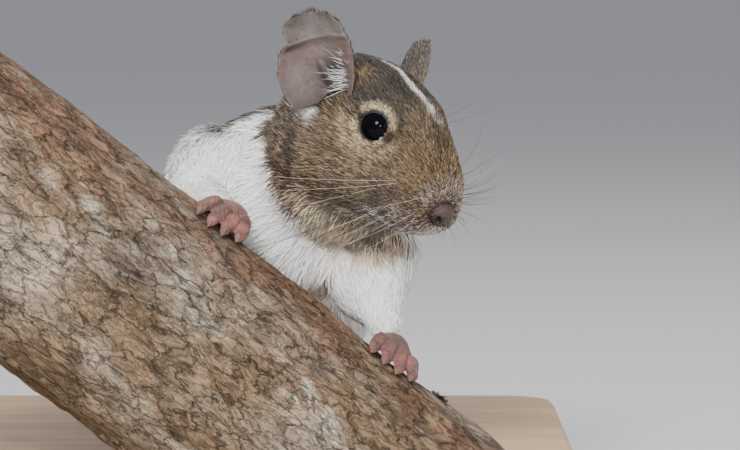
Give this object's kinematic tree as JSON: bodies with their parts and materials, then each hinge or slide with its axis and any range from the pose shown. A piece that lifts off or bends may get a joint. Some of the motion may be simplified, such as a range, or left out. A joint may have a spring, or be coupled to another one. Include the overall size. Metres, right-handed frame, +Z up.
{
  "type": "degu museum model",
  "caption": "Life-size still museum model of a pied degu resting its forepaws on a leaning cut branch, held by a flat stand base and a short rod.",
  "frame": {"origin": "centre of the stand's underside", "axes": "+Z up; +X to the right of a viewer who faces the branch, the way its low end points; +Y away from that viewer, along the animal from its head towards its tail"},
  "size_m": [0.1855, 0.204, 0.1269],
  "materials": {
    "brown_fur": "fur",
    "white_fur": "fur",
    "tail_fur": "fur",
    "bare_skin": "matte",
    "nose_skin": "satin",
    "eye": "gloss",
    "bark": "rough",
    "stand_wood": "satin",
    "stand_steel": "satin"
  },
  "bodies": {
    "root": {"stand_base": "stand_wood", "stand_rod": "stand_steel", "perch_branch": "bark", "head": "brown_fur", "nose": "nose_skin", "eye_left": "eye", "eye_right": "eye", "ear_left": "bare_skin", "ear_right": "bare_skin", "neck": "white_fur", "torso": "brown_fur", "foreleg_left": "white_fur", "foreleg_right": "white_fur", "forepaw_left": "bare_skin", "forepaw_right": "bare_skin", "hindleg_left": "brown_fur", "hindleg_right": "brown_fur", "hindfoot_left": "bare_skin", "hindfoot_right": "bare_skin", "tail_base": "tail_fur", "tail_middle": "tail_fur", "tail_end": "tail_fur", "tail_brush": "tail_fur"}
  },
  "joints": []
}
